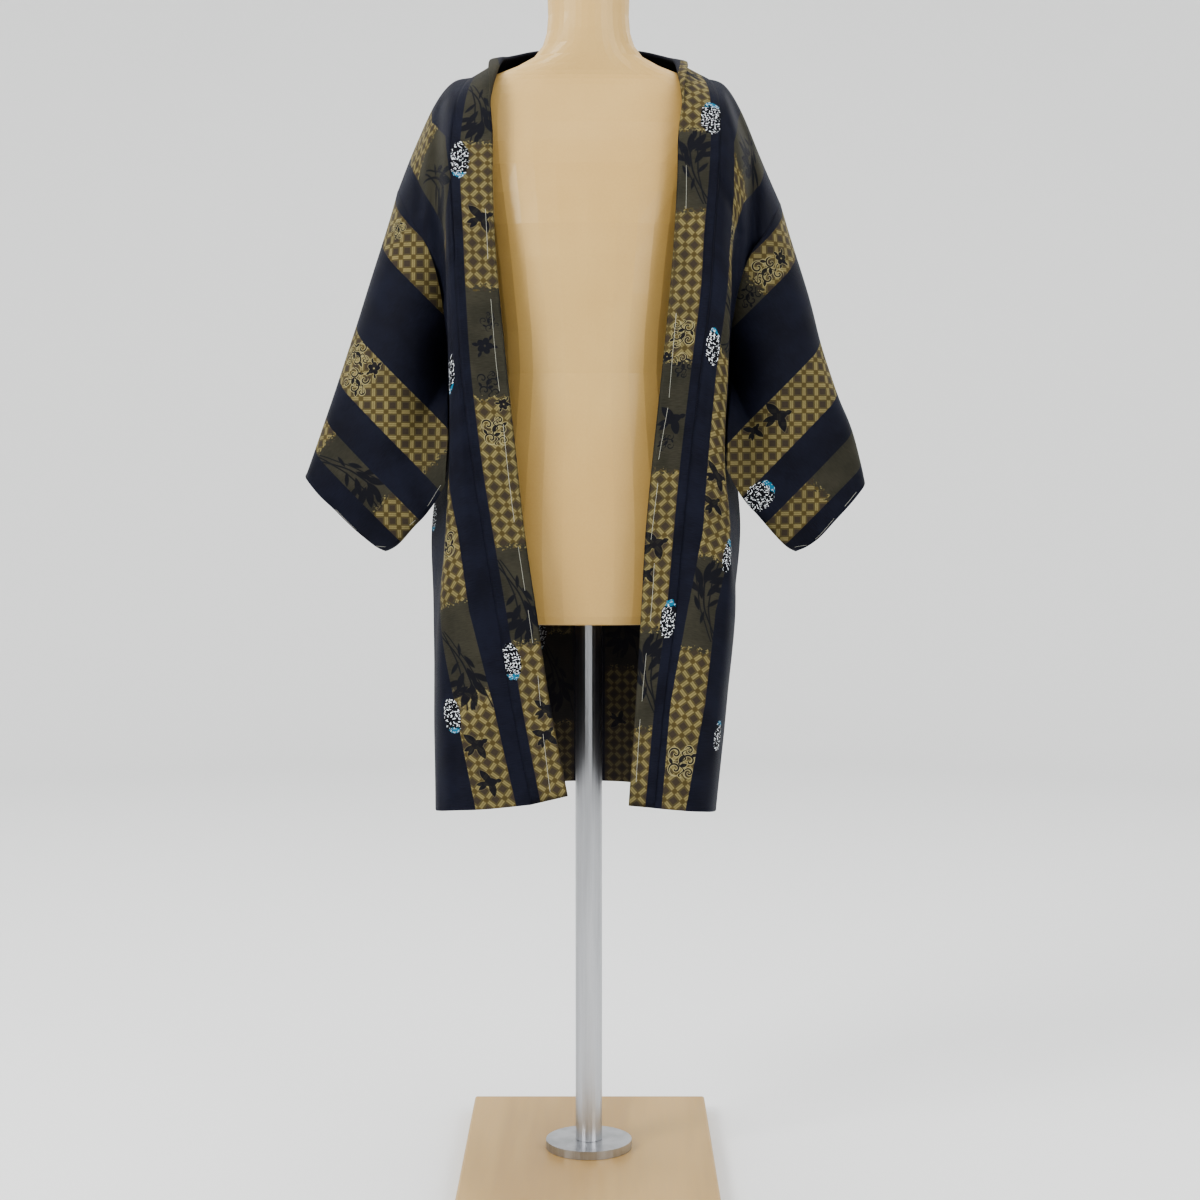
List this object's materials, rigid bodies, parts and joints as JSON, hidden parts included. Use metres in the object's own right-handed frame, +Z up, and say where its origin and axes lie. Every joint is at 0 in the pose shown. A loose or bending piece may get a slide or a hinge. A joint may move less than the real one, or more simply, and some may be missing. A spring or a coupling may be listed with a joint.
{
  "type": "haori jacket on dress form",
  "caption": "Open hip-length kimono jacket with wide hanging sleeves and a folded collar band, worn by a limbless dress form on a pole and a flat board.",
  "frame": {"origin": "centre of the base board's underside, on the floor", "axes": "+X towards the wearer's left, +Y behind the wearer, +Z up"},
  "size_m": [0.6656, 0.42, 1.44],
  "materials": {
    "kimono_cloth": "dark navy twill-like silk with woven gold and olive bands",
    "collar_cloth": "the same cloth, cut along its gold band",
    "form_skin": "smooth cream skin, satin",
    "stand_metal": "satin",
    "board_wood": "pale cream lacquered board"
  },
  "bodies": {
    "root": {"body_panel_right": "kimono_cloth", "body_panel_left": "kimono_cloth", "gusset_right": "kimono_cloth", "gusset_left": "kimono_cloth", "sleeve_right": "kimono_cloth", "sleeve_left": "kimono_cloth", "collar": "collar_cloth", "dress_form": "form_skin", "pole": "stand_metal", "pole_flange": "stand_metal", "base_board": "board_wood"}
  },
  "joints": []
}
